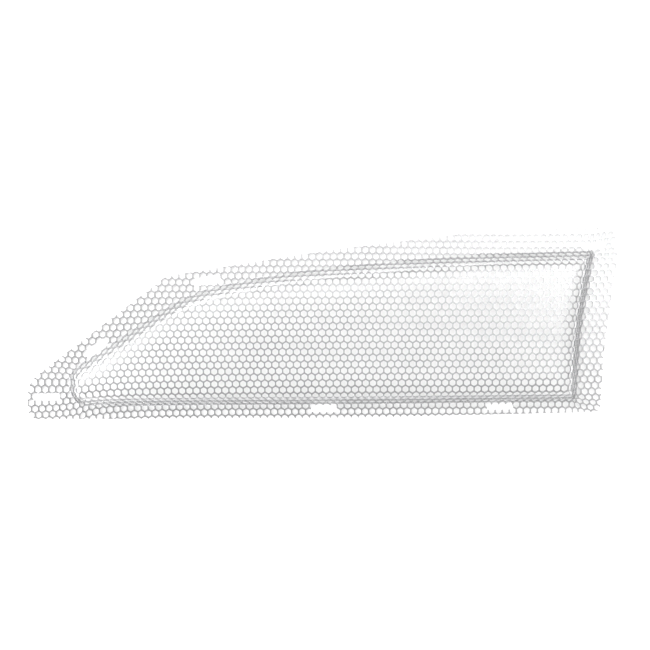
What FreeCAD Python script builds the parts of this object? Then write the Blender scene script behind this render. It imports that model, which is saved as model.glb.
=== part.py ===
"""Pressed mesh windshield screen.

One sheet of hexagonal-hole punched metal is pressed so that a wing-shaped panel
stands proud of a flat mounting flange, with a sloping drawn wall all round it.
The sheet is written as its three formed zones, which meet face to face at the
two bend lines: face_panel, drawn_wall and mounting_flange.

The holes are laid out on the flat blank and carried through the pressing: the
panel stretches a little, the flange is drawn in, and the rows at the nose are
dragged sideways.

Frame: +X along the length towards the square rear end, the pointed nose at -X,
+Y across the width, +Z from the fairing side towards the outside. The origin is
under the middle of the outline, on the flange's underside.
"""
import FreeCAD, Part
import math
import os

from FreeCAD import Vector

# ---- Driving dimensions, millimetres and degrees ----
SHEET = 0.8            # sheet thickness
HOLE_PITCH = 3.5       # hole centre to hole centre along a row
ROW_PITCH = 3.09       # row to row
BAR = 0.6              # metal left between two holes
RISE = 7.5             # panel face above flange face
WALL_ANGLE = 55.0      # slope of the wall from the flange plane
CROWN_RADIUS = 4.5     # mid-sheet bend radius at the panel's edge
FOOT_RADIUS = 1.0      # mid-sheet bend radius at the flange
WALL_STRETCH = 1.04    # how much the drawn wall is lengthened
DRIFT = 2.0            # how far the press drags the nose end's rows towards -Y
DRIFT_FROM = -118.5    # X where that drag starts to fade
DRIFT_FADE = 27.0      # length over which it fades
NOSE_PULL = 3.4        # further drag towards -Y at the nose's lower corner
NOSE_FROM = (-122.0, -17.0)      # X where it starts to fade, and Y below which it grows
NOSE_FADE = (8.0, 15.0)          # lengths over which it fades along X and grows along Y
STRETCH = 0.0135       # how much the panel is stretched in its own plane
STILL_POINT = (10.0, -11.0)      # the point of the panel that the stretch leaves alone
REAR_DRAW = 1.5        # how far the rear flange is drawn in towards the panel
REAR_MIDDLE = 7.0      # Y where it is drawn in most
REAR_SPAN = 39.5       # distance from there to where it is not drawn in
TOP_DRAW = 0.8         # the same three for the upper flange, along X
TOP_MIDDLE = 95.0
TOP_SPAN = 75.0
NOSE_CORNER = 9.0      # plan radius of the wall's foot at the two nose corners
REAR_CORNER = 3.0      # the same at the two rear corners, where the crown is mitred
FIRST_HOLE = (6.6, -6.71)        # centre of the hole that the pattern is laid out from
PATTERN_REACH = (165.0, 60.0)   # how far from that hole the pattern runs, along X and Y

# Foot of the wall: (x, y, plan radius), counter-clockwise from the lower nose corner.
FOOT_CORNERS = [
    (-125.4, -40.9, NOSE_CORNER),
    (19.5, -40.6, 900.0),
    (127.7, -39.5, REAR_CORNER),
    (129.7, -2.0, 200.0),
    (135.6, 36.3, REAR_CORNER),
    (59.5, 33.9, 1200.0),
    (-22.5, 25.8, 400.0),
    (-65.0, 16.3, 80.0),
    (-125.4, -22.5, NOSE_CORNER),
]

# Trimmed outline of the sheet, in the same order.
OUTLINE_CORNERS = [
    (-146.5, -47.0, 5.0),
    (19.5, -47.0, 500.0),
    (139.1, -44.6, 3.0),
    (140.7, -13.0, 100.0),
    (146.1, 29.0, 80.0),
    (146.6, 47.1, 4.0),
    (83.5, 45.8, 200.0),
    (-0.5, 36.0, 600.0),
    (-75.8, 24.2, 8.0),
    (-146.5, -28.6, 14.0),
]

# Tab slots in the flange: centre x, centre y, length, width, angle from +X.
SLOTS = [
    (-137.1, -35.8, 13.5, 3.6, 0.0),
    (-111.7, -11.4, 12.4, 4.2, 35.0),
    (-55.6, 22.1, 13.6, 3.9, 10.0),
    (1.7, -42.4, 13.0, 3.4, 0.0),
    (89.5, -42.0, 13.0, 2.7, 0.8),
    (135.2, 37.9, 9.5, 2.8, 0.0),
]

# ---- Worked-out values ----
ANGLE = math.radians(WALL_ANGLE)
BENDS = CROWN_RADIUS + FOOT_RADIUS
STRAIGHT = (RISE - BENDS * (1 - math.cos(ANGLE))) / math.sin(ANGLE)
WALL_WIDTH = BENDS * math.sin(ANGLE) + STRAIGHT * math.cos(ANGLE)
WALL_LENGTH = BENDS * ANGLE + STRAIGHT
CROWN_LENGTH = CROWN_RADIUS * ANGLE
BLANK_LENGTH = WALL_LENGTH / WALL_STRETCH
HALF_SHEET = SHEET / 2
HOLE_SCALE = (HOLE_PITCH - BAR) / HOLE_PITCH
SEAM_MARGIN = 0.05     # a hole nearer than this to an edge is cut with a boolean
SLOT_MARGIN = 3.0      # a hole centre this near a slot may run into it
TOOL_REACH = 1.3       # how far a hole tool stands out of the sheet's middle


# ---- Plan contours made of straight lines and tangent arcs ----
def unit(dx, dy):
    length = math.hypot(dx, dy)
    return dx / length, dy / length


def contour(corners):
    """Turn a counter-clockwise list of rounded corners into lines and arcs.

    A line is ("line", start, end). An arc is ("arc", centre, radius, start angle,
    sweep angle), with a negative sweep where the contour bends inwards.
    """
    arcs = []
    count = len(corners)
    for k in range(count):
        x, y, radius = corners[k]
        before = corners[k - 1]
        after = corners[(k + 1) % count]
        ax, ay = unit(x - before[0], y - before[1])
        bx, by = unit(after[0] - x, after[1] - y)
        turn = math.atan2(ax * by - ay * bx, ax * bx + ay * by)
        reach = radius * math.tan(abs(turn) / 2)
        side = 1 if turn > 0 else -1
        start = (x - ax * reach, y - ay * reach)
        end = (x + bx * reach, y + by * reach)
        centre = (start[0] - side * ay * radius, start[1] + side * ax * radius)
        angle = math.atan2(start[1] - centre[1], start[0] - centre[0])
        arcs.append((start, end, ("arc", centre, radius, angle, turn)))
    pieces = []
    for k in range(count):
        pieces.append(arcs[k][2])
        pieces.append(("line", arcs[k][1], arcs[(k + 1) % count][0]))
    return pieces


def offset_corners(corners, distance):
    """Move rounded corners inwards by a distance; a radius that runs out leaves a mitre."""
    moved = []
    count = len(corners)
    for k in range(count):
        x, y, radius = corners[k]
        before = corners[k - 1]
        after = corners[(k + 1) % count]
        ax, ay = unit(x - before[0], y - before[1])
        bx, by = unit(after[0] - x, after[1] - y)
        share = distance / (1 + ax * bx + ay * by)
        side = 1 if ax * by > ay * bx else -1
        left = max(0.0, radius - side * distance)
        moved.append((x - (ay + by) * share, y + (ax + bx) * share, left))
    return moved


def on_circle(centre, radius, angle):
    return centre[0] + radius * math.cos(angle), centre[1] + radius * math.sin(angle)


def wire(pieces, z=0.0):
    edges = []
    for piece in pieces:
        if piece[0] == "line":
            ends = [Vector(point[0], point[1], z) for point in piece[1:]]
            edges.append(Part.LineSegment(*ends).toShape())
        else:
            centre, radius, angle, sweep = piece[1:]
            if radius == 0:
                continue
            points = [on_circle(centre, radius, angle + sweep * part) for part in (0, 0.5, 1)]
            edges.append(Part.Arc(*[Vector(x, y, z) for x, y in points]).toShape())
    return Part.Wire(Part.__sortEdges__(edges))


def nearest(pieces, x, y):
    """Signed distance outside a contour, with the nearest point and outward normal."""
    best = None
    for piece in pieces:
        if piece[0] == "line":
            dx, dy = unit(piece[2][0] - piece[1][0], piece[2][1] - piece[1][1])
            length = math.hypot(piece[2][0] - piece[1][0], piece[2][1] - piece[1][1])
            along = (x - piece[1][0]) * dx + (y - piece[1][1]) * dy
            if along < 0 or along > length:
                continue
            foot = (piece[1][0] + dx * along, piece[1][1] + dy * along)
            normal = (dy, -dx)
        else:
            centre, radius, angle, sweep = piece[1:]
            side = 1 if sweep > 0 else -1
            rx, ry = unit(x - centre[0], y - centre[1])
            turned = (math.atan2(ry, rx) - angle) * side
            turned = turned % (2 * math.pi)
            if turned > abs(sweep):
                continue
            foot = (centre[0] + rx * radius, centre[1] + ry * radius)
            normal = (rx * side, ry * side)
        out = (x - foot[0]) * normal[0] + (y - foot[1]) * normal[1]
        if best is None or abs(out) < abs(best[0]):
            best = (out, foot, normal)
    return best


# ---- How the flat blank is formed ----
def wall_point(length):
    """Plan distance, drop below the panel and tilt, by length down the wall."""
    if length <= CROWN_LENGTH:
        tilt = length / CROWN_RADIUS
        return CROWN_RADIUS * math.sin(tilt), CROWN_RADIUS * (1 - math.cos(tilt)), tilt
    crown_out = CROWN_RADIUS * math.sin(ANGLE)
    crown_drop = CROWN_RADIUS * (1 - math.cos(ANGLE))
    if length <= CROWN_LENGTH + STRAIGHT:
        run = length - CROWN_LENGTH
        return crown_out + run * math.cos(ANGLE), crown_drop + run * math.sin(ANGLE), ANGLE
    tilt = (WALL_LENGTH - length) / FOOT_RADIUS
    out = WALL_WIDTH - FOOT_RADIUS * math.sin(tilt)
    return out, RISE - FOOT_RADIUS * (1 - math.cos(tilt)), tilt


def dragged(blank_foot, x, y):
    """Where the press drags a point of the blank before the wall is bent."""
    drift = DRIFT * math.exp(-max(0.0, x - DRIFT_FROM) / DRIFT_FADE)
    along = math.exp(-max(0.0, x - NOSE_FROM[0]) / NOSE_FADE[0])
    across = 1 - math.exp(-(min(0.0, y - NOSE_FROM[1]) / NOSE_FADE[1]) ** 2)
    y -= drift + NOSE_PULL * along * across
    past_foot, foot, normal = nearest(blank_foot, x, y)
    gone = min(1.0, max(0.0, 1 + past_foot / BLANK_LENGTH))
    kept = 1 - gone * min(1.0, 1 + normal[0])
    rear = REAR_DRAW * (1 - ((y - REAR_MIDDLE) / REAR_SPAN) ** 2)
    top = TOP_DRAW * max(0.0, 1 - ((x - TOP_MIDDLE) / TOP_SPAN) ** 2)
    dx = STRETCH * (x - STILL_POINT[0]) * kept - rear * gone * max(0.0, normal[0])
    dy = STRETCH * (y - STILL_POINT[1]) * kept - top * gone * max(0.0, normal[1])
    return x + dx, y + dy


def formed(blank_foot, x, y):
    """Where a point of the blank ends up: position, sheet normal, distance past the panel."""
    x, y = dragged(blank_foot, x, y)
    past_foot, foot, normal = nearest(blank_foot, x, y)
    out = BLANK_LENGTH + past_foot
    if out <= 0:
        return Vector(x, y, HALF_SHEET + RISE), Vector(0, 0, 1), out
    if out < BLANK_LENGTH:
        plan, drop, tilt = wall_point(out * WALL_STRETCH)
    else:
        plan, drop, tilt = WALL_WIDTH + past_foot, RISE, 0.0
    run = plan - BLANK_LENGTH
    place = Vector(foot[0] + normal[0] * run, foot[1] + normal[1] * run, HALF_SHEET + RISE - drop)
    lean = Vector(normal[0] * math.sin(tilt), normal[1] * math.sin(tilt), math.cos(tilt))
    return place, lean, out


def hole_corners(x, y):
    """The blank's hexagon, clockwise, with its points towards +Y and -Y."""
    half = HOLE_PITCH / 2
    low = ROW_PITCH / 3
    shape = [(0, 2 * low), (half, low), (half, -low), (0, -2 * low), (-half, -low), (-half, low)]
    return [(x + HOLE_SCALE * dx, y + HOLE_SCALE * dy) for dx, dy in shape]


def pattern(blank_foot):
    """Every hole: its formed middle and normal, then place, normal and distance out of each corner."""
    holes = []
    rows = int(math.ceil(PATTERN_REACH[1] / ROW_PITCH))
    columns = int(math.ceil(PATTERN_REACH[0] / HOLE_PITCH))
    for row in range(-rows, rows + 1):
        for column in range(-columns, columns + 1):
            offset = HOLE_PITCH / 2 if row % 2 else 0.0
            x = FIRST_HOLE[0] + HOLE_PITCH * column + offset
            y = FIRST_HOLE[1] + ROW_PITCH * row
            centre, normal = formed(blank_foot, x, y)[:2]
            corners = [formed(blank_foot, *corner) for corner in hole_corners(x, y)]
            holes.append((centre, normal, corners))
    return holes


# ---- Solids ----
def slot_face(slot):
    x, y, length, width, angle = slot
    box = Part.makePlane(length, width, Vector(-length / 2, -width / 2, 0))
    box.rotate(Vector(0, 0, 0), Vector(0, 0, 1), angle)
    box.translate(Vector(x, y, 0))
    return box


def polygon(points):
    return Part.makePolygon(points + [points[0]])


def flat_sheet(outer, cutters, whole_holes, z):
    """A flat zone: cut its edge holes, add the whole holes as wires, and thicken."""
    trimmed = Part.Face(outer).cut(cutters)
    face = max(trimmed.Faces, key=lambda part: part.Area)
    edges = [face.OuterWire] + [w for w in face.Wires if not w.isSame(face.OuterWire)]
    sheet = Part.Face(edges + whole_holes)
    sheet.translate(Vector(0, 0, z))
    return sheet.extrude(Vector(0, 0, SHEET))


def near_slot(centre):
    for x, y, length, width, angle in SLOTS:
        reach = length / 2 + SLOT_MARGIN
        if math.hypot(centre.x - x, centre.y - y) < reach:
            return True
    return False


def face_panel(panel_edge, holes):
    whole = []
    cutters = []
    for centre, normal, corners in holes:
        outs = [corner[2] for corner in corners]
        if min(outs) >= 0:
            continue
        ring = polygon([Vector(place.x, place.y, 0) for place, lean, out in corners])
        if max(outs) < -SEAM_MARGIN:
            whole.append(ring)
        else:
            cutters.append(Part.Face(ring))
    return flat_sheet(wire(panel_edge), cutters, whole, RISE)


def mounting_flange(foot, outline, holes):
    whole = []
    cutters = [Part.Face(wire(foot))] + [slot_face(slot) for slot in SLOTS]
    for centre, normal, corners in holes:
        outs = [corner[2] - BLANK_LENGTH for corner in corners]
        past = [nearest(outline, place.x, place.y)[0] for place, lean, out in corners]
        if max(outs) <= 0 or min(past) >= 0:
            continue
        ring = polygon([Vector(place.x, place.y, 0) for place, lean, out in corners])
        inside = min(outs) > SEAM_MARGIN and max(past) < -SEAM_MARGIN
        if inside and not near_slot(centre):
            whole.append(ring)
        else:
            cutters.append(Part.Face(ring))
    return flat_sheet(wire(outline), cutters, whole, 0.0)


def wall_section(foot, normal):
    """The wall's cross-section, ending at a point of its foot."""
    def at(out, z):
        run = out - WALL_WIDTH
        return Vector(foot[0] + normal[0] * run, foot[1] + normal[1] * run, z)

    def skin(offset):
        """Six points down one side of the sheet, offset from its middle."""
        crown = (0, CROWN_LENGTH / 2, CROWN_LENGTH)
        foot = (CROWN_LENGTH + STRAIGHT, WALL_LENGTH - FOOT_RADIUS * ANGLE / 2, WALL_LENGTH)
        points = [wall_point(length) for length in crown + foot]
        middle = HALF_SHEET + RISE
        return [at(out + offset * math.sin(tilt), middle - drop + offset * math.cos(tilt))
                for out, drop, tilt in points]

    top = skin(HALF_SHEET)
    low = skin(-HALF_SHEET)
    edges = []
    for side in (top, low):
        edges.append(Part.Arc(*side[0:3]).toShape())
        edges.append(Part.LineSegment(side[2], side[3]).toShape())
        edges.append(Part.Arc(*side[3:6]).toShape())
    edges.append(Part.LineSegment(top[0], low[0]).toShape())
    edges.append(Part.LineSegment(top[5], low[5]).toShape())
    return Part.Face(Part.Wire(Part.__sortEdges__(edges)))


def is_mitred(arc):
    """Is the crown too wide to turn round this corner's centre?"""
    radius, sweep = arc[2], arc[4]
    return sweep > 0 and radius < WALL_WIDTH


def straight_sector(foot, panel_edge, k):
    """The wall along one straight side, cut to its mitre at a sharp corner."""
    x, y = foot[k][1]
    dx = foot[k][2][0] - x
    dy = foot[k][2][1] - y
    ux, uy = unit(dx, dy)
    before = foot[k - 1]
    after = foot[(k + 1) % len(foot)]
    if not is_mitred(before) and not is_mitred(after):
        return wall_section((x, y), (uy, -ux)).extrude(Vector(dx, dy, 0))
    section = wall_section((x - ux * WALL_WIDTH, y - uy * WALL_WIDTH), (uy, -ux))
    spare = 2 * WALL_WIDTH
    block = section.extrude(Vector(dx + ux * spare, dy + uy * spare, 0))
    rim = [foot[k][1], foot[k][2]]
    if is_mitred(after):
        rim.append(after[1])
    rim += [panel_edge[k][2], panel_edge[k][1]]
    if is_mitred(before):
        rim.append(before[1])
    plan = Part.Face(polygon([Vector(px, py, -SHEET) for px, py in rim]))
    return block.common(plan.extrude(Vector(0, 0, RISE + 3 * SHEET))).Solids[0]


def corner_sector(arc):
    """The wall round one corner, or only its part outside the corner's centre."""
    centre, radius, angle, sweep = arc[1:]
    side = 1 if sweep > 0 else -1
    normal = (math.cos(angle) * side, math.sin(angle) * side)
    section = wall_section(on_circle(centre, radius, angle), normal)
    if is_mitred(arc):
        far = on_circle(centre, radius + SHEET, angle)
        window = [Vector(centre[0], centre[1], -SHEET), Vector(far[0], far[1], -SHEET),
                  Vector(far[0], far[1], RISE + 2 * SHEET), Vector(centre[0], centre[1], RISE + 2 * SHEET)]
        section = section.common(Part.Face(polygon(window))).Faces[0]
    return section.revolve(Vector(centre[0], centre[1], 0), Vector(0, 0, 1), math.degrees(sweep))


def wall_sectors(foot, panel_edge):
    sectors = []
    for k in range(len(foot)):
        if foot[k][0] == "line":
            sectors.append(straight_sector(foot, panel_edge, k))
        else:
            sectors.append(corner_sector(foot[k]))
    return sectors


def hole_tool(centre, normal, corners):
    """A six-sided punch through the sheet, square to it at the hole's middle."""
    ring = []
    for place, lean, out in corners:
        lift = (place - centre).dot(normal)
        ring.append(place - normal * (lift + TOOL_REACH))
    return Part.Face(polygon(ring)).extrude(normal * (2 * TOOL_REACH))


def drawn_wall(foot, panel_edge, holes):
    tools = []
    for centre, normal, corners in holes:
        outs = [corner[2] for corner in corners]
        if max(outs) > 0 and min(outs) < BLANK_LENGTH:
            tools.append(hole_tool(centre, normal, corners))
    sectors = wall_sectors(foot, panel_edge)
    ring = sectors[0].multiFuse(sectors[1:])
    punched = ring.cut(tools)
    return max(punched.Solids, key=lambda solid: solid.Volume)


def main():
    os.makedirs("parts", exist_ok=True)
    foot = contour(FOOT_CORNERS)
    panel_edge = contour(offset_corners(FOOT_CORNERS, WALL_WIDTH))
    blank_foot = contour(offset_corners(FOOT_CORNERS, WALL_WIDTH - BLANK_LENGTH))
    outline = contour(OUTLINE_CORNERS)
    holes = pattern(blank_foot)
    nodes = {
        "face_panel": face_panel(panel_edge, holes),
        "drawn_wall": drawn_wall(foot, panel_edge, holes),
        "mounting_flange": mounting_flange(foot, outline, holes),
    }
    for name, shape in nodes.items():
        shape.exportStep(os.path.join("parts", name + ".step"))
        box = shape.optimalBoundingBox()
        print(name, len(shape.Solids), len(shape.Faces), shape.isValid(), round(shape.Volume, 1),
              round(box.XMin, 2), round(box.XMax, 2), round(box.YMin, 2), round(box.YMax, 2),
              round(box.ZMin, 2), round(box.ZMax, 2))


main()
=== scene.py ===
"""Looks of the pressed mesh windshield screen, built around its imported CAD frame.

The screen is one sheet of hexagonal-hole punched metal. Each hole and the metal
round it is one cell of a blank, and every cell is carried through the same
forming as the CAD sheet: flat panel, bend, sloping wall, bend, flat flange. Only
the crown is a little softer than the CAD's, so that the rows beside it fade out.
Each hole has a rolled upper edge, a straight wall and a small break on its lower
edge. The outline and the tab slots are then cut through the finished mesh.
"""

import math

import bmesh
import bpy
import numpy as np
from mathutils import Euler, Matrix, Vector


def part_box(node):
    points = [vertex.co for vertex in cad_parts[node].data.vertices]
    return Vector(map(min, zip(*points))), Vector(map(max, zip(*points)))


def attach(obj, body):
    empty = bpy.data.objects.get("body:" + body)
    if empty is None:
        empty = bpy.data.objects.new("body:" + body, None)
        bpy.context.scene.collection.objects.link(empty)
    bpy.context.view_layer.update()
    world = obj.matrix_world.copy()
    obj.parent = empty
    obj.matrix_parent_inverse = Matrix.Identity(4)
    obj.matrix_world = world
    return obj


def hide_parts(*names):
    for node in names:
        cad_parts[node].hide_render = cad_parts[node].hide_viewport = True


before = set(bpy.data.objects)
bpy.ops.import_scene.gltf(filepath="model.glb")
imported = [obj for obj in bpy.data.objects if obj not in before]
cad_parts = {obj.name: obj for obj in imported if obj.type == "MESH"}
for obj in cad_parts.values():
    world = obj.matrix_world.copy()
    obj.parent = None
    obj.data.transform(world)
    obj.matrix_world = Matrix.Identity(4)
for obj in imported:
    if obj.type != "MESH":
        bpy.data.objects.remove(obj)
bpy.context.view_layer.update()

# ---- The sheet, in millimetres and degrees, as the CAD model forms it ----
MM = 0.001
SHEET = (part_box("mounting_flange")[1].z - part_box("mounting_flange")[0].z) / MM
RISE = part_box("face_panel")[0].z / MM
HOLE_PITCH = 3.5
ROW_PITCH = 3.09
BAR = 0.6
WALL_ANGLE = math.radians(55.0)
CROWN_RADIUS = 4.5
FOOT_RADIUS = 1.0
WALL_STRETCH = 1.04
DRIFT = 2.0
DRIFT_FROM = -118.5
DRIFT_FADE = 27.0
NOSE_PULL = 3.4
NOSE_FROM = (-122.0, -17.0)
NOSE_FADE = (8.0, 15.0)
STRETCH = 0.0135
STILL_POINT = (10.0, -11.0)
REAR_DRAW = 1.5
REAR_MIDDLE = 7.0
REAR_SPAN = 39.5
TOP_DRAW = 0.8
TOP_MIDDLE = 95.0
TOP_SPAN = 75.0
NOSE_CORNER = 9.0
REAR_CORNER = 3.0
FIRST_HOLE = np.array((6.6, -6.71))

# Foot of the wall and trimmed outline: (x, y, plan radius), counter-clockwise.
FOOT_CORNERS = [
    (-125.4, -40.9, NOSE_CORNER),
    (19.5, -40.6, 900.0),
    (127.7, -39.5, REAR_CORNER),
    (129.7, -2.0, 200.0),
    (135.6, 36.3, REAR_CORNER),
    (59.5, 33.9, 1200.0),
    (-22.5, 25.8, 400.0),
    (-65.0, 16.3, 80.0),
    (-125.4, -22.5, NOSE_CORNER),
]
OUTLINE_CORNERS = [
    (-146.5, -47.0, 5.0),
    (19.5, -47.0, 500.0),
    (139.1, -44.6, 3.0),
    (140.7, -13.0, 100.0),
    (146.1, 29.0, 80.0),
    (146.6, 47.1, 4.0),
    (83.5, 45.8, 200.0),
    (-0.5, 36.0, 600.0),
    (-75.8, 24.2, 8.0),
    (-146.5, -28.6, 14.0),
]

# Tab slots: centre x, centre y, length, width, angle from +X in degrees.
SLOTS = [
    (-137.1, -35.8, 13.5, 3.6, 0.0),
    (-111.7, -11.4, 12.4, 4.2, 35.0),
    (-55.6, 22.1, 13.6, 3.9, 10.0),
    (1.7, -42.4, 13.0, 3.4, 0.0),
    (89.5, -42.0, 13.0, 2.7, 0.8),
    (135.2, 37.9, 9.5, 2.8, 0.0),
]

# ---- Detail that only the visual mesh has, in millimetres ----
HOLE_CORNER = 0.6      # radius in the corners of each hole
ROLL = 0.12            # rounding that the punch leaves on the upper hole edge
BURR = 0.05            # break on the lower hole edge
EDGE_SHARE = 0.22      # where the cell's extra points lie on its sides
SAG = 0.35             # how far the panel's rim lies low where the crown starts
SAG_REACH = 6.0        # how far the sag runs into the panel
SAG_END = 4.2          # how far beyond the rim, down the wall, the sag ends

# ---- Limits of the pattern and of the cuts, in millimetres unless it says otherwise ----
ROWS = 22              # rows of holes on each side of the first
COLUMNS = 50           # holes on each side of the first
PANEL, WALL, FLANGE, CROSSED, OUTSIDE = 0, 1, 2, 3, -1    # a cell's zone
FACE, HOLE_WALL, SEAM = 0, 1, 2                           # what a face of the mesh is
ARC_STEP = math.radians(9)
TRIM_REACH = 4.5       # how far from a chord the outline's cut looks for faces
SLOT_MARGIN = 1.0      # how far past a slot its cuts run
SNAP = 1e-7            # metres: a vertex this near a cut lies on it
WELD_STEPS = 1000      # steps per millimetre that tell two vertices apart
PLAN_DIGITS = 2        # decimals that tell two cells of the blank apart

# ---- Colours and finish of the metal ----
SHEET_DULL = (0.42, 0.42, 0.425, 1)
SHEET_BRIGHT = (0.48, 0.48, 0.485, 1)
SHEET_ROUGHNESS = (0.24, 0.36)
BRUSH_SCALE = (120.0, 6000.0, 6000.0)    # strokes per metre along and across the rolling
BRUSH_DETAIL = 3.0
BRUSH_STRENGTH = 0.15
BRUSH_DEPTH = 0.00002                    # metres
PATCH_SCALE = 45.0                       # dull and bright patches per metre
PATCH_DETAIL = 2.0
PATCH_RANGE = (0.3, 0.7)
CUT_BURNISHED = (0.61, 0.61, 0.62, 1)
CUT_TORN = (0.45, 0.45, 0.46, 1)
CUT_ROUGHNESS = (0.25, 0.6)
CUT_BAND = (0.35, 0.5)                   # shares of the depth between which the band ends
GRAIN_SCALE = 4000.0
GRAIN_STRENGTH = 0.3
GRAIN_DEPTH = 0.00003                    # metres

# ---- Stage and camera, in metres and degrees ----
FLOOR_WHITE = (0.92, 0.92, 0.92, 1)
FLOOR_GLOW = 0.07
FLOOR_ROUGHNESS = 0.9
FLOOR_HALF = 2.0
FLOOR_LEVEL = -0.00005
CAMERA_PLACE = (0.0099, 0.0533, 0.564)
CAMERA_TURN = (-5.454, 0.706, -0.389)
CAMERA_LENS = 63.25
CAMERA_SENSOR = 36.0
CAMERA_NEAR = 0.01

# ---- Studio light: name, place and size in metres, radiance ----
WORLD_LEVEL = 0.47
SOFTBOXES = [
    ("north_wall", (0.0, 0.85, 0.25), (1.6, 0.5), 3.1),
    ("south_wall", (0.0, -0.85, 0.25), (1.6, 0.5), 1.9),
    ("east_wall", (0.9, 0.0, 0.25), (1.4, 0.5), 2.7),
    ("west_wall", (-0.9, 0.0, 0.25), (1.4, 0.5), 6.6),
    ("rear_overhead", (0.27, 0.05, 0.6), (0.2, 0.17), 6.6),
    ("middle_overhead", (0.0, 0.05, 0.6), (0.4, 0.17), 1.9),
    ("nose_overhead", (-0.4, 0.05, 0.6), (0.2, 0.17), 5.5),
    ("nose_back_overhead", (-0.4, 0.6, 0.6), (0.2, 0.57), 7.0),
    ("rear_back_overhead", (0.5, 0.75, 0.6), (0.2, 0.27), 4.3),
]

# ---- Worked-out values ----
BENDS = CROWN_RADIUS + FOOT_RADIUS
STRAIGHT = (RISE - BENDS * (1 - math.cos(WALL_ANGLE))) / math.sin(WALL_ANGLE)
WALL_WIDTH = BENDS * math.sin(WALL_ANGLE) + STRAIGHT * math.cos(WALL_ANGLE)
WALL_LENGTH = BENDS * WALL_ANGLE + STRAIGHT
CROWN_LENGTH = CROWN_RADIUS * WALL_ANGLE
BLANK_LENGTH = WALL_LENGTH / WALL_STRETCH
HALF_SHEET = SHEET / 2
HOLE_SCALE = (HOLE_PITCH - BAR) / HOLE_PITCH
APOTHEM = (HOLE_PITCH - BAR) / 2
HALF_CORNER = math.radians(30)           # half of what the rim turns by at a hexagon's corner


# ---- Plan contours of straight lines and tangent arcs ----
def unit(dx, dy):
    """A plan direction of length 1."""
    length = math.hypot(dx, dy)
    return dx / length, dy / length


def contour(corners):
    """Turn rounded corners into ("line", start, end) and ("arc", centre, radius, angle, sweep)."""
    arcs = []
    count = len(corners)
    for k in range(count):
        x, y, radius = corners[k]
        before = corners[k - 1]
        after = corners[(k + 1) % count]
        ax, ay = unit(x - before[0], y - before[1])
        bx, by = unit(after[0] - x, after[1] - y)
        turn = math.atan2(ax * by - ay * bx, ax * bx + ay * by)
        reach = radius * math.tan(abs(turn) / 2)
        side = 1 if turn > 0 else -1
        start = (x - ax * reach, y - ay * reach)
        end = (x + bx * reach, y + by * reach)
        centre = (start[0] - side * ay * radius, start[1] + side * ax * radius)
        angle = math.atan2(start[1] - centre[1], start[0] - centre[0])
        arcs.append((start, end, ("arc", centre, radius, angle, turn)))
    pieces = []
    for k in range(count):
        pieces.append(arcs[k][2])
        pieces.append(("line", arcs[k][1], arcs[(k + 1) % count][0]))
    return pieces


def offset_corners(corners, distance):
    """Move rounded corners inwards by a distance; a radius that runs out leaves a mitre."""
    moved = []
    count = len(corners)
    for k in range(count):
        x, y, radius = corners[k]
        before = corners[k - 1]
        after = corners[(k + 1) % count]
        ax, ay = unit(x - before[0], y - before[1])
        bx, by = unit(after[0] - x, after[1] - y)
        share = distance / (1 + ax * bx + ay * by)
        side = 1 if ax * by > ay * bx else -1
        left = max(0.0, radius - side * distance)
        moved.append((x - (ay + by) * share, y + (ax + bx) * share, left))
    return moved


def nearest(pieces, points):
    """Signed distance outside a contour, with nearest points and outward normals."""
    best = np.full(len(points), np.inf)
    feet = np.zeros_like(points)
    normals = np.zeros_like(points)
    for piece in pieces:
        if piece[0] == "line":
            start = np.array(piece[1])
            along = np.array(piece[2]) - start
            length = np.hypot(*along)
            along = along / length
            run = (points - start) @ along
            on_piece = (run >= 0) & (run <= length)
            foot = start + run[:, None] * along
            normal = np.broadcast_to((along[1], -along[0]), points.shape)
        else:
            centre, radius, angle, sweep = piece[1:]
            side = 1 if sweep > 0 else -1
            ray = points - np.array(centre)
            ray = ray / np.maximum(np.hypot(ray[:, 0], ray[:, 1]), 1e-9)[:, None]
            turned = (np.arctan2(ray[:, 1], ray[:, 0]) - angle) * side % (2 * math.pi)
            on_piece = turned <= abs(sweep)
            foot = np.array(centre) + ray * radius
            normal = ray * side
        out = ((points - foot) * normal).sum(1)
        closer = on_piece & (np.abs(out) < np.abs(best))
        best[closer] = out[closer]
        feet[closer] = foot[closer]
        normals[closer] = normal[closer]
    return best, feet, normals


# ---- How the flat blank is formed ----
def wall_profile(length):
    """Plan distance, drop and tilt for each length down the wall."""
    crown = length <= CROWN_LENGTH
    foot = length > CROWN_LENGTH + STRAIGHT
    tilt = np.where(crown, length / CROWN_RADIUS, WALL_ANGLE)
    tilt = np.where(foot, (WALL_LENGTH - length) / FOOT_RADIUS, tilt)
    run = length - CROWN_LENGTH
    out = CROWN_RADIUS * math.sin(WALL_ANGLE) + run * math.cos(WALL_ANGLE)
    drop = CROWN_RADIUS * (1 - math.cos(WALL_ANGLE)) + run * math.sin(WALL_ANGLE)
    out = np.where(crown, CROWN_RADIUS * np.sin(tilt), out)
    drop = np.where(crown, CROWN_RADIUS * (1 - np.cos(tilt)), drop)
    out = np.where(foot, WALL_WIDTH - FOOT_RADIUS * np.sin(tilt), out)
    drop = np.where(foot, RISE - FOOT_RADIUS * (1 - np.cos(tilt)), drop)
    return out, drop, tilt


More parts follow.
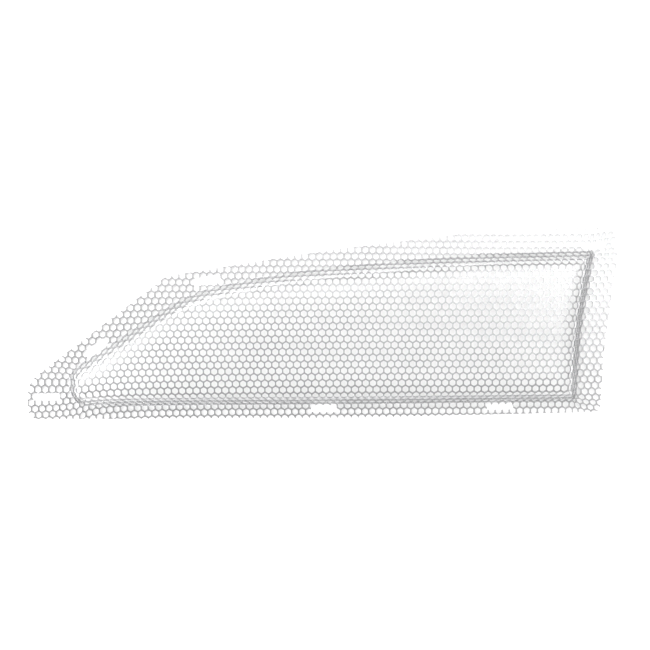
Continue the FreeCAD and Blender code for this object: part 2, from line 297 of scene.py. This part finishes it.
def crown_sag(out):
    """Soft crown: how far the sheet lies below its true profile, and the slope that this adds."""
    inside = np.clip(1 + out / SAG_REACH, 0, 1)
    share = np.clip(out / SAG_END, 0, 1)
    bulge = 2 + 2 * SAG_END / SAG_REACH
    sag = np.where(out <= 0, inside ** 2, (1 - share) ** 2 * (1 + bulge * share))
    on_wall = (1 - share) * (bulge * (1 - share) - 2 * (1 + bulge * share)) / SAG_END
    slope = np.where(out <= 0, 2 * inside / SAG_REACH, on_wall)
    return SAG * sag, SAG * slope


def dragged(points):
    """Where the press drags points of the blank before the wall is bent."""
    points = points.copy()
    x, y = points.T
    drift = DRIFT * np.exp(-np.maximum(0, x - DRIFT_FROM) / DRIFT_FADE)
    along = np.exp(-np.maximum(0, x - NOSE_FROM[0]) / NOSE_FADE[0])
    across = 1 - np.exp(-(np.minimum(0, y - NOSE_FROM[1]) / NOSE_FADE[1]) ** 2)
    points[:, 1] -= drift + NOSE_PULL * along * across
    past_foot, ways = nearest(BLANK_FOOT, points)[::2]
    gone = np.clip(1 + past_foot / BLANK_LENGTH, 0, 1)
    kept = 1 - gone * np.minimum(1, 1 + ways[:, 0])
    rear = REAR_DRAW * (1 - ((y - REAR_MIDDLE) / REAR_SPAN) ** 2)
    top = TOP_DRAW * np.maximum(0, 1 - ((x - TOP_MIDDLE) / TOP_SPAN) ** 2)
    move = STRETCH * (points - STILL_POINT) * kept[:, None]
    move[:, 0] -= rear * gone * np.maximum(0, ways[:, 0])
    move[:, 1] -= top * gone * np.maximum(0, ways[:, 1])
    return points + move


def formed(points):
    """Carry blank points to the middle of the formed sheet: places, normals, distances out."""
    points = dragged(points)
    past_foot, feet, ways = nearest(BLANK_FOOT, points)
    out = BLANK_LENGTH + past_foot
    plan, drop, tilt = wall_profile(np.clip(out, 0, BLANK_LENGTH) * WALL_STRETCH)
    plan = np.where(past_foot > 0, WALL_WIDTH + past_foot, plan)
    flat = feet + ways * (plan - BLANK_LENGTH)[:, None]
    flat = np.where((out <= 0)[:, None], points, flat)
    sag, slope = crown_sag(out)
    tilt = np.arctan(np.tan(tilt) + slope / np.cos(tilt))
    places = np.column_stack((flat, HALF_SHEET + RISE - drop - sag))
    leans = np.column_stack((ways * np.sin(tilt)[:, None], np.cos(tilt)))
    return places, leans, out


BLANK_FOOT = contour(offset_corners(FOOT_CORNERS, WALL_WIDTH - BLANK_LENGTH))
OUTLINE = contour(OUTLINE_CORNERS)


# ---- One cell of the blank ----
def cell_shapes():
    """The cell's rim and the hole's edge, counter-clockwise, three points to a corner."""
    half = HOLE_PITCH / 2
    low = ROW_PITCH / 3
    corners = np.array([(0, 2 * low), (-half, low), (-half, -low),
                        (0, -2 * low), (half, -low), (half, low)])
    rim = []
    hole = []
    for k in range(6):
        here = corners[k]
        before = corners[k - 1]
        after = corners[(k + 1) % 6]
        rim += [here + (before - here) * EDGE_SHARE, here, here + (after - here) * EDGE_SHARE]
        point = here * HOLE_SCALE
        reach = HOLE_CORNER * math.tan(HALF_CORNER)
        cut = HOLE_CORNER * (1 / math.cos(HALF_CORNER) - 1)
        back = (before - here) / np.linalg.norm(before - here)
        on = (after - here) / np.linalg.norm(after - here)
        inwards = point / np.linalg.norm(point) * cut
        hole += [point + back * reach, point - inwards, point + on * reach]
    return np.array(rim), np.array(hole)


def cell_loops():
    """Loops from the upper rim, through the hole, to the lower rim: (points, height, facing).

    Facing is 1 for the upper face, 0 for the hole's wall and -1 for the lower face.
    """
    rim, hole = cell_shapes()
    rolled = hole * (1 + ROLL / APOTHEM)
    broken = hole * (1 + BURR / APOTHEM)
    return [
        (rim, HALF_SHEET, 1),
        (rolled, HALF_SHEET, 1),
        (hole, HALF_SHEET - ROLL, 0),
        (hole, BURR - HALF_SHEET, 0),
        (broken, -HALF_SHEET, -1),
        (rim, -HALF_SHEET, -1),
    ]


def cell_centres():
    """Blank centres of every cell that may reach the sheet."""
    rows = np.arange(-ROWS, ROWS + 1)
    columns = np.arange(-COLUMNS, COLUMNS + 1)
    column, row = np.meshgrid(columns, rows)
    x = FIRST_HOLE[0] + HOLE_PITCH * (column + (row % 2) / 2)
    y = FIRST_HOLE[1] + ROW_PITCH * row
    return np.column_stack((x.ravel(), y.ravel()))


def sort_cells(centres):
    """Give each cell its zone; a crossed cell is one that the outline cuts."""
    rim = cell_shapes()[0]
    corners = (centres[:, None, :] + rim[None]).reshape(-1, 2)
    places, out = formed(corners)[::2]
    out = out.reshape(len(centres), -1)
    past = nearest(OUTLINE, places[:, :2].copy())[0].reshape(len(centres), -1)
    zone = np.full(len(centres), WALL)
    zone[out.max(1) <= 0] = PANEL
    zone[out.min(1) >= BLANK_LENGTH] = FLANGE
    zone[past.max(1) > 0] = CROSSED
    zone[past.min(1) > 0] = OUTSIDE
    return zone


# ---- Meshes ----
def build_cells(centres):
    """Closed mesh of some cells: vertices in mm, shading normals, depths, faces, kinds of face."""
    loops = cell_loops()
    sides = len(loops[0][0])
    cells = len(centres)
    places = []
    normals = []
    depths = []
    for shape, height, facing in loops:
        flat = (centres[:, None, :] + shape[None]).reshape(-1, 2)
        place, lean = formed(flat)[:2]
        at = (place + lean * height).reshape(cells, sides, 3)
        lean = lean.reshape(cells, sides, 3)
        if facing:
            normal = lean * facing
        else:
            along = np.roll(at, -1, 1) - np.roll(at, 1, 1)
            normal = np.cross(lean, along)
            normal = normal / np.linalg.norm(normal, axis=2, keepdims=True)
        places.append(at)
        normals.append(normal)
        depths.append(np.full((cells, sides), 0.5 - height / SHEET))
    places = np.stack(places, 1).reshape(-1, 3)
    normals = np.stack(normals, 1).reshape(-1, 3)
    depths = np.stack(depths, 1).reshape(-1)
    number = np.arange(len(places)).reshape(cells, len(loops), sides)
    faces = []
    kinds = []
    for band in range(len(loops) - 1):
        a = number[:, band]
        b = number[:, band + 1]
        quad = np.stack((a, np.roll(a, -1, 1), np.roll(b, -1, 1), b), 2).reshape(-1, 4)
        faces.append(quad)
        punched = loops[band][2] == 0 and loops[band + 1][2] == 0
        kinds.append(np.full(len(quad), HOLE_WALL if punched else FACE))
    caps = seam_faces(centres, number)
    faces.append(caps)
    kinds.append(np.full(len(caps), SEAM))
    faces = np.concatenate(faces)
    kinds = np.concatenate(kinds)
    return weld(places, normals, depths, faces, kinds)


def seam_faces(centres, number):
    """Faces that close the cut where the neighbouring cell belongs to another piece."""
    rim = cell_shapes()[0]
    known = {tuple(key) for key in np.round(centres, PLAN_DIGITS)}
    count = len(rim)
    caps = []
    for side in range(6):
        corner = side * 3 + 1
        to_neighbour = rim[corner] + rim[(corner + 3) % count]
        beyond = np.round(centres + to_neighbour, PLAN_DIGITS)
        alone = np.array([tuple(key) not in known for key in beyond])
        for step in range(3):
            top = number[alone, 0]
            low = number[alone, -1]
            a = (corner + step) % count
            b = (corner + step + 1) % count
            caps.append(np.stack((top[:, b], top[:, a], low[:, a], low[:, b]), 1))
    return np.concatenate(caps)


def weld(places, normals, depths, faces, kinds):
    """Join vertices that cells share."""
    keys = np.round(np.column_stack((places, normals)) * WELD_STEPS).astype(np.int64)
    first, same = np.unique(keys, axis=0, return_index=True, return_inverse=True)[1:]
    return places[first], normals[first], depths[first], same.reshape(-1)[faces], kinds


def new_mesh(name, data):
    """Blender mesh of quads in metres, with the true normals and the depth in the sheet kept."""
    places, normals, depths, faces, kinds = data
    mesh = bpy.data.meshes.new(name)
    mesh.vertices.add(len(places))
    mesh.vertices.foreach_set("co", (places * MM).astype(np.float32).ravel())
    mesh.loops.add(faces.size)
    mesh.loops.foreach_set("vertex_index", faces.astype(np.int32).ravel())
    mesh.polygons.add(len(faces))
    mesh.polygons.foreach_set("loop_start", np.arange(0, faces.size, 4, dtype=np.int32))
    mesh.polygons.foreach_set("material_index", (kinds != FACE).astype(np.int32))
    mesh.update(calc_edges=True)
    mesh.polygons.foreach_set("use_smooth", kinds != SEAM)
    hint = mesh.attributes.new("facing", "FLOAT_VECTOR", "POINT")
    hint.data.foreach_set("vector", normals.astype(np.float32).ravel())
    depth = mesh.attributes.new("depth", "FLOAT", "POINT")
    depth.data.foreach_set("value", depths.astype(np.float32))
    return mesh


def faces_near(bm, inside):
    """The faces, edges and vertices of the faces whose middle passes a test."""
    faces = [face for face in bm.faces if inside(face.calc_center_median())]
    edges = dict.fromkeys(edge for face in faces for edge in face.edges)
    verts = dict.fromkeys(vert for face in faces for vert in face.verts)
    return faces + list(edges) + list(verts)


def close_cut(bm, edges):
    """Fill the holes that a cut has left, with flat sheared faces."""
    open_edges = [edge for edge in edges if edge.is_valid and edge.is_boundary]
    made = bmesh.ops.holes_fill(bm, edges=open_edges, sides=0)["faces"]
    missed = [edge for edge in open_edges if edge.is_valid and edge.is_boundary]
    if missed:
        extra = bmesh.ops.triangle_fill(bm, edges=missed, use_beauty=True)["geom"]
        made += [item for item in extra if isinstance(item, bmesh.types.BMFace)]
    for face in made:
        face.material_index = 1
        face.smooth = False


def outline_chords():
    """The outline as short straight chords, with fine steps round its arcs."""
    points = []
    for piece in OUTLINE:
        if piece[0] == "line":
            points.append(piece[1])
        else:
            centre, radius, angle, sweep = piece[1:]
            steps = max(1, int(math.ceil(abs(sweep) / ARC_STEP)))
            for k in range(steps):
                turn = angle + sweep * k / steps
                x = centre[0] + radius * math.cos(turn)
                y = centre[1] + radius * math.sin(turn)
                points.append((x, y))
    return [(points[k], points[(k + 1) % len(points)]) for k in range(len(points))]


def trim_outline(bm):
    """Cut away what lies past the outline."""
    reach = TRIM_REACH * MM
    for start, end in outline_chords():
        a = Vector(start) * MM
        along = Vector(end) * MM - a
        length = along.length
        along.normalize()
        away = Vector((along.y, -along.x))

        def near(middle):
            offset = middle.xy - a
            run = offset.dot(along)
            return -reach < run < length + reach and -reach < offset.dot(away) < 2 * reach

        geom = faces_near(bm, near)
        if not geom:
            continue
        cut = bmesh.ops.bisect_plane(bm, geom=geom, dist=SNAP, plane_co=a.to_3d(),
                                     plane_no=away.to_3d(), clear_outer=True)
        edges = [item for item in cut["geom_cut"] if isinstance(item, bmesh.types.BMEdge)]
        close_cut(bm, edges)


def cut_slot(bm, slot):
    """Cut one rectangular slot through the mesh."""
    x, y, length, width, angle = slot
    turn = math.radians(angle)
    along = Vector((math.cos(turn), math.sin(turn)))
    across = Vector((-math.sin(turn), math.cos(turn)))
    middle = Vector((x, y)) * MM
    half = (length / 2 * MM, width / 2 * MM)

    def within(point, extra):
        offset = point.xy - middle
        in_length = abs(offset.dot(along)) < half[0] + extra
        return in_length and abs(offset.dot(across)) < half[1] + extra

    for way, reach in ((along, half[0]), (-along, half[0]), (across, half[1]), (-across, half[1])):
        geom = faces_near(bm, lambda point: within(point, SLOT_MARGIN * MM))
        if geom:
            at = middle + way * reach
            bmesh.ops.bisect_plane(bm, geom=geom, dist=SNAP, plane_co=at.to_3d(),
                                   plane_no=way.to_3d())
    gone = [face for face in bm.faces if within(face.calc_center_median(), 0)]
    rims = list(dict.fromkeys(edge for face in gone for edge in face.edges))
    bmesh.ops.delete(bm, geom=gone, context="FACES")
    close_cut(bm, rims)


def drop_loose_bits(bm):
    """Remove the crumbs that a cut has freed, and keep the largest connected part."""
    seen = set()
    parts = []
    for seed in bm.verts:
        if seed in seen:
            continue
        seen.add(seed)
        part = [seed]
        for vert in part:
            for edge in vert.link_edges:
                other = edge.other_vert(vert)
                if other not in seen:
                    seen.add(other)
                    part.append(other)
        parts.append(part)
    parts.sort(key=len, reverse=True)
    crumbs = [vert for part in parts[1:] for vert in part]
    if crumbs:
        bmesh.ops.delete(bm, geom=crumbs, context="VERTS")


def drop_wires(bm):
    """Remove the edges that a cut has left without a face."""
    wires = [edge for edge in bm.edges if edge.is_wire]
    if wires:
        bmesh.ops.delete(bm, geom=wires, context="EDGES")


def set_shading(mesh):
    """Shade with the sheet's true normals, and leave sheared faces flat."""
    count = len(mesh.loops)
    verts = np.empty(count, np.int32)
    mesh.loops.foreach_get("vertex_index", verts)
    hints = np.empty(len(mesh.vertices) * 3, np.float32)
    mesh.attributes["facing"].data.foreach_get("vector", hints)
    loop_normals = hints.reshape(-1, 3)[verts]
    totals = np.empty(len(mesh.polygons), np.int32)
    mesh.polygons.foreach_get("loop_total", totals)
    smooth = np.empty(len(mesh.polygons), bool)
    mesh.polygons.foreach_get("use_smooth", smooth)
    flat = np.empty(len(mesh.polygons) * 3, np.float32)
    mesh.polygons.foreach_get("normal", flat)
    owner = np.repeat(np.arange(len(totals)), totals)
    hard = ~smooth[owner]
    loop_normals[hard] = flat.reshape(-1, 3)[owner][hard]
    lengths = np.maximum(np.linalg.norm(loop_normals, axis=1, keepdims=True), 1e-9)
    mesh.polygons.foreach_set("use_smooth", np.ones(len(totals), bool))
    mesh.normals_split_custom_set(loop_normals / lengths)
    mesh.attributes.remove(mesh.attributes["facing"])


def make_piece(name, node, data, materials, trim=False, slots=()):
    """Finish one formed zone and let it stand for its CAD node."""
    mesh = new_mesh(name, data)
    if trim or slots:
        bm = bmesh.new()
        bm.from_mesh(mesh)
        if trim:
            trim_outline(bm)
        for slot in slots:
            cut_slot(bm, slot)
        drop_loose_bits(bm)
        close_cut(bm, bm.edges)
        drop_wires(bm)
        bm.to_mesh(mesh)
        bm.free()
    for material in materials:
        mesh.materials.append(material)
    set_shading(mesh)
    piece = bpy.data.objects.new(name, mesh)
    bpy.context.scene.collection.objects.link(piece)
    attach(piece, "root")
    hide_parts(node)


# ---- Materials ----
def start_material(name):
    """A new node material, with its nodes, its links and its shader."""
    material = bpy.data.materials.new(name)
    material.use_nodes = True
    nodes = material.node_tree.nodes
    return material, nodes, material.node_tree.links, nodes["Principled BSDF"]


def satin_sheet():
    """Rolled stainless sheet: fine brushing along X, and faint uneven gloss."""
    material, nodes, links, shader = start_material("satin_sheet")
    place = nodes.new("ShaderNodeTexCoord")
    stretch = nodes.new("ShaderNodeMapping")
    stretch.inputs["Scale"].default_value = BRUSH_SCALE
    links.new(place.outputs["Object"], stretch.inputs["Vector"])
    brush = nodes.new("ShaderNodeTexNoise")
    brush.inputs["Scale"].default_value = 1.0
    brush.inputs["Detail"].default_value = BRUSH_DETAIL
    links.new(stretch.outputs["Vector"], brush.inputs["Vector"])
    patches = nodes.new("ShaderNodeTexNoise")
    patches.inputs["Scale"].default_value = PATCH_SCALE
    patches.inputs["Detail"].default_value = PATCH_DETAIL
    links.new(place.outputs["Object"], patches.inputs["Vector"])
    colour = nodes.new("ShaderNodeValToRGB")
    colour.color_ramp.elements[0].position = PATCH_RANGE[0]
    colour.color_ramp.elements[0].color = SHEET_DULL
    colour.color_ramp.elements[1].position = PATCH_RANGE[1]
    colour.color_ramp.elements[1].color = SHEET_BRIGHT
    links.new(patches.outputs["Fac"], colour.inputs["Fac"])
    links.new(colour.outputs["Color"], shader.inputs["Base Color"])
    gloss = nodes.new("ShaderNodeMapRange")
    gloss.inputs["To Min"].default_value = SHEET_ROUGHNESS[0]
    gloss.inputs["To Max"].default_value = SHEET_ROUGHNESS[1]
    links.new(brush.outputs["Fac"], gloss.inputs["Value"])
    links.new(gloss.outputs["Result"], shader.inputs["Roughness"])
    bump = nodes.new("ShaderNodeBump")
    bump.inputs["Strength"].default_value = BRUSH_STRENGTH
    bump.inputs["Distance"].default_value = BRUSH_DEPTH
    links.new(brush.outputs["Fac"], bump.inputs["Height"])
    links.new(bump.outputs["Normal"], shader.inputs["Normal"])
    shader.inputs["Metallic"].default_value = 1.0
    return material


def punched_edge():
    """Hole walls and trimmed edges: a burnished upper band over a rougher torn one."""
    material, nodes, links, shader = start_material("punched_edge")
    depth = nodes.new("ShaderNodeAttribute")
    depth.attribute_name = "depth"
    place = nodes.new("ShaderNodeTexCoord")
    grain = nodes.new("ShaderNodeTexNoise")
    grain.inputs["Scale"].default_value = GRAIN_SCALE
    links.new(place.outputs["Object"], grain.inputs["Vector"])
    band = nodes.new("ShaderNodeMapRange")
    band.interpolation_type = "SMOOTHSTEP"
    band.inputs["From Min"].default_value = CUT_BAND[0]
    band.inputs["From Max"].default_value = CUT_BAND[1]
    links.new(depth.outputs["Fac"], band.inputs["Value"])
    rough = nodes.new("ShaderNodeMapRange")
    rough.inputs["To Min"].default_value = CUT_ROUGHNESS[0]
    rough.inputs["To Max"].default_value = CUT_ROUGHNESS[1]
    links.new(band.outputs["Result"], rough.inputs["Value"])
    links.new(rough.outputs["Result"], shader.inputs["Roughness"])
    tint = nodes.new("ShaderNodeMix")
    tint.data_type = "RGBA"
    tint.inputs["A"].default_value = CUT_BURNISHED
    tint.inputs["B"].default_value = CUT_TORN
    links.new(band.outputs["Result"], tint.inputs["Factor"])
    links.new(tint.outputs["Result"], shader.inputs["Base Color"])
    bump = nodes.new("ShaderNodeBump")
    bump.inputs["Strength"].default_value = GRAIN_STRENGTH
    bump.inputs["Distance"].default_value = GRAIN_DEPTH
    links.new(grain.outputs["Fac"], bump.inputs["Height"])
    links.new(bump.outputs["Normal"], shader.inputs["Normal"])
    shader.inputs["Metallic"].default_value = 1.0
    return material


def white_floor():
    """Matt white acrylic, faintly lit from below like a light table."""
    material, _, _, shader = start_material("floor_white")
    shader.inputs["Base Color"].default_value = FLOOR_WHITE
    shader.inputs["Roughness"].default_value = FLOOR_ROUGHNESS
    shader.inputs["Specular IOR Level"].default_value = 0.0
    shader.inputs["Emission Color"].default_value = (1, 1, 1, 1)
    shader.inputs["Emission Strength"].default_value = FLOOR_GLOW
    return material


# ---- Stage, light and camera ----
def make_floor():
    """A plain white table just under the flange."""
    mesh = bpy.data.meshes.new("floor")
    corners = [(x * FLOOR_HALF, y * FLOOR_HALF, FLOOR_LEVEL)
               for x, y in ((-1, -1), (1, -1), (1, 1), (-1, 1))]
    mesh.from_pydata(corners, [], [(0, 1, 2, 3)])
    mesh.materials.append(white_floor())
    floor = bpy.data.objects.new("floor", mesh)
    bpy.context.scene.collection.objects.link(floor)


def make_softbox(name, place, size, radiance):
    """A rectangular lamp of even brightness that faces the middle of the screen."""
    light = bpy.data.lights.new(name, "AREA")
    light.shape = "RECTANGLE"
    light.size, light.size_y = size
    light.energy = radiance * math.pi * size[0] * size[1]
    lamp = bpy.data.objects.new(name, light)
    lamp.location = place
    lamp.rotation_euler = (-Vector(place)).to_track_quat("-Z", "Y").to_euler()
    bpy.context.scene.collection.objects.link(lamp)


def make_world(level):
    """Even white light from all round."""
    world = bpy.data.worlds.new("studio")
    world.use_nodes = True
    shade = world.node_tree.nodes["Background"]
    shade.inputs["Color"].default_value = (1, 1, 1, 1)
    shade.inputs["Strength"].default_value = level
    bpy.context.scene.world = world


def make_camera():
    """Camera above the screen, a little towards +Y and tilted."""
    camera = bpy.data.cameras.new("camera")
    camera.lens = CAMERA_LENS
    camera.sensor_width = CAMERA_SENSOR
    camera.clip_start = CAMERA_NEAR
    body = bpy.data.objects.new("camera", camera)
    body.location = CAMERA_PLACE
    body.rotation_euler = Euler([math.radians(angle) for angle in CAMERA_TURN])
    bpy.context.scene.collection.objects.link(body)
    bpy.context.scene.camera = body


def main():
    """Build the stage and the three formed zones of the sheet."""
    make_camera()
    make_floor()
    make_world(WORLD_LEVEL)
    for softbox in SOFTBOXES:
        make_softbox(*softbox)
    bpy.context.scene.view_settings.view_transform = "Standard"
    centres = cell_centres()
    zones = sort_cells(centres)
    materials = [satin_sheet(), punched_edge()]
    panel, wall = (build_cells(centres[zones == zone]) for zone in (PANEL, WALL))
    flange = build_cells(centres[zones >= FLANGE])
    make_piece("raised_panel", "face_panel", panel, materials)
    make_piece("sloping_wall", "drawn_wall", wall, materials, slots=SLOTS)
    make_piece("flat_flange", "mounting_flange", flange, materials, trim=True, slots=SLOTS)


main()
